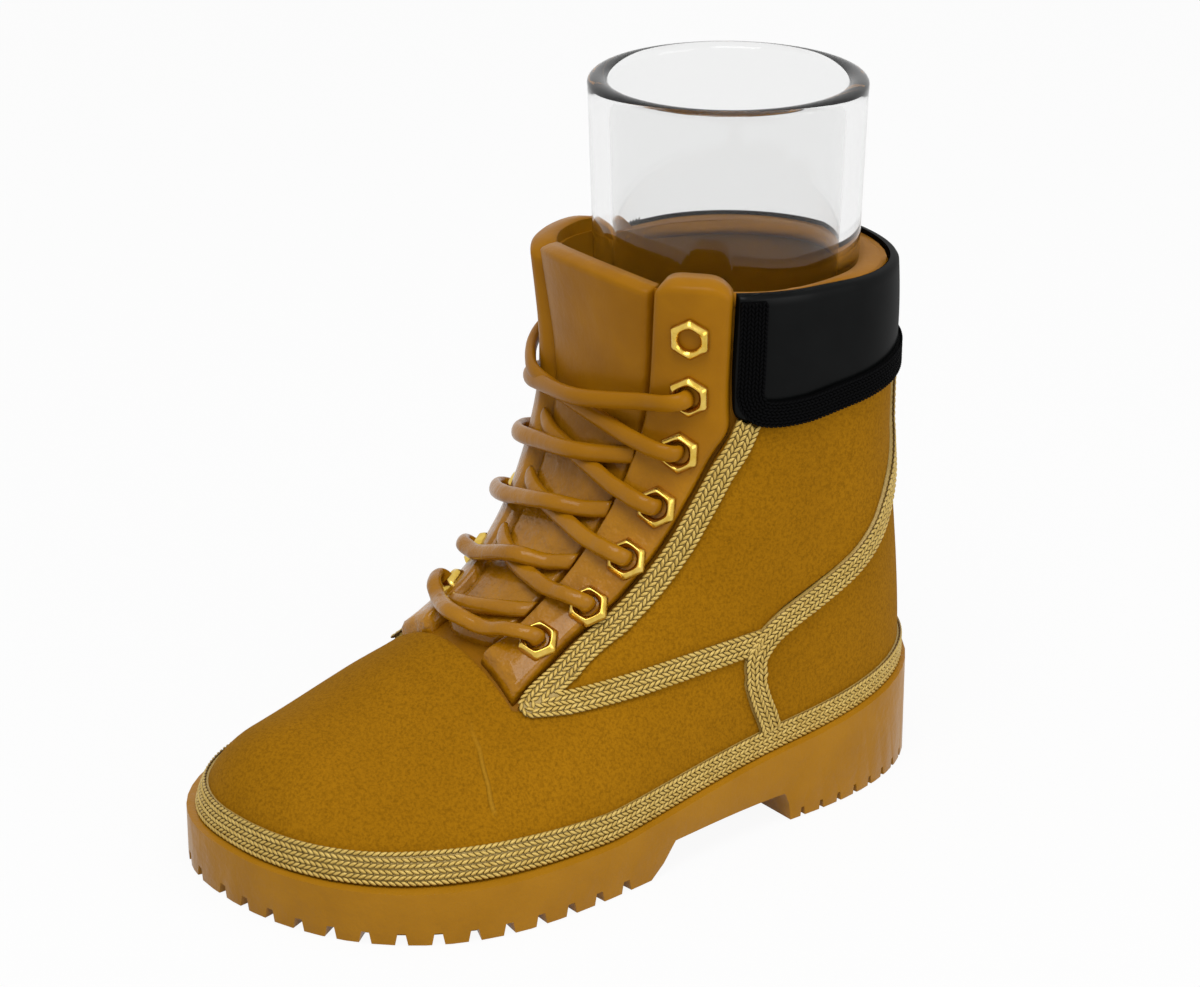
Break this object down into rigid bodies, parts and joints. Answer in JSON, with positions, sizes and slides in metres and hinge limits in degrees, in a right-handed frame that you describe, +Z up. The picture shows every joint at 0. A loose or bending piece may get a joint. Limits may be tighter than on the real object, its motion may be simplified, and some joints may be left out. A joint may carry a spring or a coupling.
{
  "type": "boot shot glass",
  "caption": "Small decorative ankle boot with suede-look panels, gold braid and a lug sole, holding a straight clear glass that lifts out of its shaft.",
  "frame": {"origin": "middle of the boot's footprint, on the surface it stands on", "axes": "+Z up out of the glass, toe towards -Y, the boot's outer side towards +X"},
  "size_m": [0.0644, 0.1196, 0.1096],
  "materials": {
    "sole_resin": "satin gloss",
    "boot_resin": "gloss varnish",
    "lace": "gloss varnish",
    "suede": "matte nap",
    "gold_braid": "metallic thread",
    "collar": "satin",
    "binding": "matte",
    "eyelet": "polished",
    "glass": "clear"
  },
  "bodies": {
    "boot": {"outsole": "sole_resin", "boot_core": "boot_resin", "tongue": "boot_resin", "eyestay_left": "boot_resin", "eyestay_right": "boot_resin", "vamp_panel": "suede", "quarter_panel_left": "suede", "quarter_panel_right": "suede", "heel_counter": "suede", "collar_band": "collar", "collar_binding": "binding", "welt_braid": "gold_braid", "eyestay_braid_left": "gold_braid", "eyestay_braid_right": "gold_braid", "quarter_braid_left": "gold_braid", "quarter_braid_right": "gold_braid", "counter_braid_left": "gold_braid", "counter_braid_right": "gold_braid", "eyelets_left": "eyelet", "eyelets_right": "eyelet", "lace": "lace"},
    "glass": {"glass": "glass"}
  },
  "joints": [
    {"name": "glass_lift", "type": "slide", "parent": "boot", "child": "glass", "axis": [0, 0, 1], "range_m": [0, 0.06]}
  ]
}
